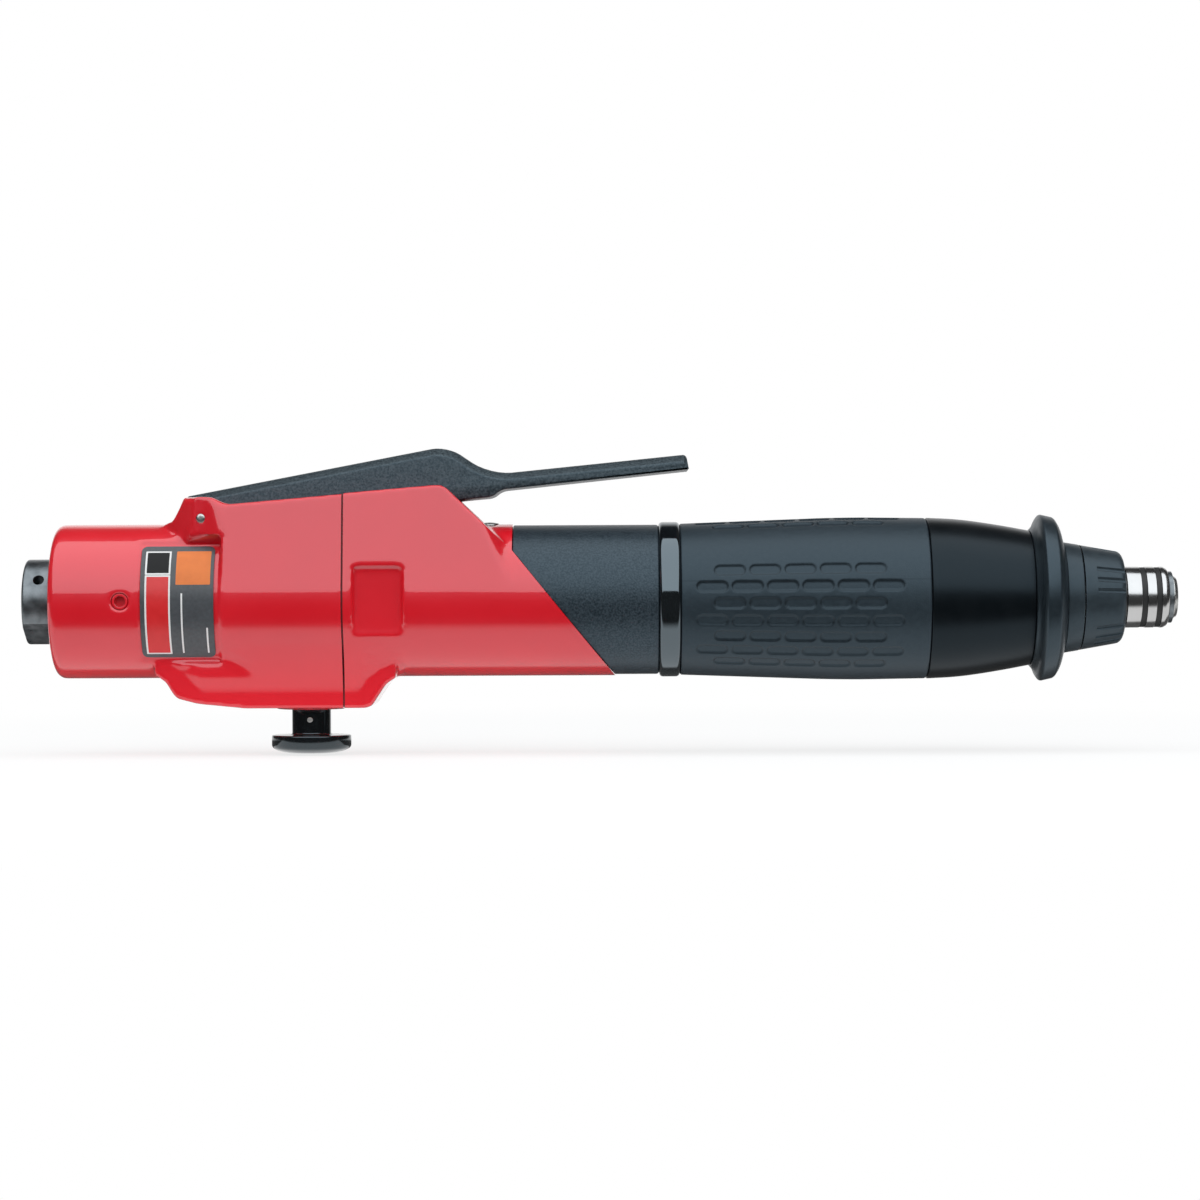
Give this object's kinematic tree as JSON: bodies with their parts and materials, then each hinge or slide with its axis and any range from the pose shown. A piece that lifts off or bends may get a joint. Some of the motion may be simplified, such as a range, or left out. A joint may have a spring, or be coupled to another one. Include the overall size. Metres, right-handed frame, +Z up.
{
  "type": "inline pneumatic screwdriver",
  "caption": "Inline air screwdriver with a long throttle lever, push-in reverse knob, rubber grip, torque bezel and quick-change hex chuck.",
  "frame": {"origin": "mouth of the air inlet thread, on the tool's axis", "axes": "+X along the spindle axis towards the bit, +Z up through the lever, +Y across"},
  "size_m": [0.2478, 0.036, 0.0655],
  "materials": {
    "adjust_bezel": "smooth black",
    "adjust_pins": "machined steel",
    "adjust_ring": "machined steel",
    "air_inlet_bush": "blackened steel",
    "bit_lock_balls": "machined steel",
    "carrier_1": "hardened steel",
    "carrier_2": "machined steel",
    "chuck_sleeve": "bright chrome",
    "chuck_spring": "machined steel",
    "clamp_band": "gloss black",
    "clutch_balls": "machined steel",
    "clutch_case": "turned aluminium",
    "clutch_spring": "machined steel",
    "driven_cam": "machined steel",
    "driver_cam": "machined steel",
    "front_collar": "smooth black",
    "front_end_plate": "machined steel",
    "front_housing": "gloss red enamel on cast aluminium",
    "hand_guard": "matte black",
    "housing_gasket": "thin gasket",
    "inlet_o_ring": "nitrile",
    "inlet_screen": "brass",
    "knob_pin": "machined steel",
    "label_plate": "dark foil plate",
    "lever": "dark grey speckled coating",
    "lever_pin": "bright steel",
    "motor_bearings": "machined steel",
    "motor_cylinder": "machined steel",
    "motor_inner_races": "machined steel",
    "motor_pinion": "machined steel",
    "motor_sleeve": "fine texture, black",
    "nose_cone": "smooth black",
    "planet_1a": "machined steel",
    "planet_1b": "machined steel",
    "planet_1c": "machined steel",
    "planet_2a": "machined steel",
    "planet_2b": "machined steel",
    "planet_2c": "machined steel",
    "port_plug": "painted over with the casing",
    "rear_end_plate": "machined steel",
    "rear_housing": "gloss red enamel on cast aluminium",
    "reverse_bush": "brass",
    "reverse_knob": "gloss black",
    "reverse_spool": "machined steel",
    "reverse_spring": "machined steel",
    "ring_gear": "machined steel",
    "rotor": "machined steel",
    "rotor_vanes": "fibre laminate",
    "rubber_grip": "soft matte rubber",
    "snap_ring": "machined steel",
    "spindle": "machined steel",
    "spindle_bearing": "machined steel",
    "spindle_inner_race": "machined steel",
    "spring_seat": "machined steel",
    "stop_screw": "bright steel",
    "throttle_bush": "brass",
    "throttle_seal": "nitrile",
    "throttle_spring": "machined steel",
    "throttle_stem": "machined steel",
    "thrust_bearing": "machined steel"
  },
  "bodies": {
    "casing": {"air_inlet_bush": "air_inlet_bush", "inlet_o_ring": "inlet_o_ring", "inlet_screen": "inlet_screen", "rear_housing": "rear_housing", "label_plate": "label_plate", "port_plug": "port_plug", "housing_gasket": "housing_gasket", "front_housing": "front_housing", "lever_pin": "lever_pin", "stop_screw": "stop_screw", "throttle_bush": "throttle_bush", "throttle_spring": "throttle_spring", "reverse_bush": "reverse_bush", "reverse_spring": "reverse_spring", "rear_end_plate": "rear_end_plate", "front_end_plate": "front_end_plate", "motor_bearings": "motor_bearings", "motor_cylinder": "motor_cylinder", "ring_gear": "ring_gear", "motor_sleeve": "motor_sleeve", "clamp_band": "clamp_band", "rubber_grip": "rubber_grip", "clutch_case": "clutch_case", "thrust_bearing": "thrust_bearing", "clutch_spring": "clutch_spring", "nose_cone": "nose_cone", "hand_guard": "hand_guard", "front_collar": "front_collar", "spindle_bearing": "spindle_bearing"},
    "lever": {"lever": "lever"},
    "throttle": {"throttle_stem": "throttle_stem", "throttle_seal": "throttle_seal"},
    "reverse": {"reverse_spool": "reverse_spool", "reverse_knob": "reverse_knob", "knob_pin": "knob_pin"},
    "rotor": {"rotor": "rotor", "rotor_vanes": "rotor_vanes", "motor_inner_races": "motor_inner_races", "motor_pinion": "motor_pinion"},
    "carrier_1": {"carrier_1": "carrier_1"},
    "planet_1a": {"planet_1a": "planet_1a"},
    "planet_1b": {"planet_1b": "planet_1b"},
    "planet_1c": {"planet_1c": "planet_1c"},
    "carrier_2": {"carrier_2": "carrier_2", "driver_cam": "driver_cam", "clutch_balls": "clutch_balls"},
    "planet_2a": {"planet_2a": "planet_2a"},
    "planet_2b": {"planet_2b": "planet_2b"},
    "planet_2c": {"planet_2c": "planet_2c"},
    "spindle": {"spindle": "spindle", "driven_cam": "driven_cam", "spindle_inner_race": "spindle_inner_race", "bit_lock_balls": "bit_lock_balls", "snap_ring": "snap_ring", "chuck_spring": "chuck_spring"},
    "chuck_sleeve": {"chuck_sleeve": "chuck_sleeve"},
    "bezel": {"adjust_bezel": "adjust_bezel"},
    "adjuster": {"adjust_ring": "adjust_ring", "adjust_pins": "adjust_pins", "spring_seat": "spring_seat"}
  },
  "joints": [
    {"name": "lever_press", "type": "hinge", "parent": "casing", "child": "lever", "pos_m": [0.0389, 0, 0.0176], "axis": [0, 1, 0], "range_deg": [0, 4.8], "stiffness_Nm_per_rad": 2, "springref_deg": -2.86},
    {"name": "throttle_stroke", "type": "slide", "parent": "casing", "child": "throttle", "axis": [0, 0, -1], "range_m": [0, 0.00185], "deforming": ["throttle_spring"]},
    {"name": "reverse_push", "type": "slide", "parent": "casing", "child": "reverse", "axis": [0, 0, 1], "range_m": [0, 0.004], "stiffness_N_per_m": 900, "springref_m": -0.002, "deforming": ["reverse_spring"]},
    {"name": "rotor_spin", "type": "hinge", "parent": "casing", "child": "rotor", "pos_m": [0.09, 0, 0], "axis": [1, 0, 0], "continuous": true},
    {"name": "carrier_1_spin", "type": "hinge", "parent": "casing", "child": "carrier_1", "pos_m": [0.125, 0, 0], "axis": [1, 0, 0], "continuous": true},
    {"name": "carrier_2_spin", "type": "hinge", "parent": "casing", "child": "carrier_2", "pos_m": [0.135, 0, 0], "axis": [1, 0, 0], "continuous": true},
    {"name": "spindle_spin", "type": "hinge", "parent": "casing", "child": "spindle", "pos_m": [0.2, 0, 0], "axis": [1, 0, 0], "continuous": true},
    {"name": "planet_1a_spin", "type": "hinge", "parent": "carrier_1", "child": "planet_1a", "pos_m": [0.12, 0.0072, 0], "axis": [1, 0, 0], "continuous": true},
    {"name": "planet_1b_spin", "type": "hinge", "parent": "carrier_1", "child": "planet_1b", "pos_m": [0.12, -0.0036, 0.00624], "axis": [1, 0, 0], "continuous": true},
    {"name": "planet_1c_spin", "type": "hinge", "parent": "carrier_1", "child": "planet_1c", "pos_m": [0.12, -0.0036, -0.00624], "axis": [1, 0, 0], "continuous": true},
    {"name": "planet_2a_spin", "type": "hinge", "parent": "carrier_2", "child": "planet_2a", "pos_m": [0.13, 0.0072, 0], "axis": [1, 0, 0], "continuous": true},
    {"name": "planet_2b_spin", "type": "hinge", "parent": "carrier_2", "child": "planet_2b", "pos_m": [0.13, -0.0036, 0.00624], "axis": [1, 0, 0], "continuous": true},
    {"name": "planet_2c_spin", "type": "hinge", "parent": "carrier_2", "child": "planet_2c", "pos_m": [0.13, -0.0036, -0.00624], "axis": [1, 0, 0], "continuous": true},
    {"name": "chuck_pull", "type": "slide", "parent": "spindle", "child": "chuck_sleeve", "axis": [-1, 0, 0], "range_m": [0, 0.003], "stiffness_N_per_m": 600, "springref_m": -0.002, "deforming": ["chuck_spring"]},
    {"name": "bezel_turn", "type": "hinge", "parent": "casing", "child": "bezel", "pos_m": [0.23, 0, 0], "axis": [1, 0, 0], "range_deg": [0, 300]},
    {"name": "adjuster_slide", "type": "slide", "parent": "casing", "child": "adjuster", "axis": [-1, 0, 0], "range_m": [0, 0.00125], "deforming": ["clutch_spring"]}
  ],
  "couplings": [
    {"joint": "throttle_stroke", "follows": "lever_press", "m_per_rad": 0.022083},
    {"joint": "carrier_1_spin", "follows": "rotor_spin", "ratio": 0.25},
    {"joint": "carrier_2_spin", "follows": "rotor_spin", "ratio": 0.0625},
    {"joint": "spindle_spin", "follows": "rotor_spin", "ratio": 0.0625},
    {"joint": "planet_1a_spin", "follows": "rotor_spin", "ratio": -0.75},
    {"joint": "planet_1b_spin", "follows": "rotor_spin", "ratio": -0.75},
    {"joint": "planet_1c_spin", "follows": "rotor_spin", "ratio": -0.75},
    {"joint": "planet_2a_spin", "follows": "rotor_spin", "ratio": -0.1875},
    {"joint": "planet_2b_spin", "follows": "rotor_spin", "ratio": -0.1875},
    {"joint": "planet_2c_spin", "follows": "rotor_spin", "ratio": -0.1875},
    {"joint": "adjuster_slide", "follows": "bezel_turn", "m_per_rad": 0.00023873}
  ]
}
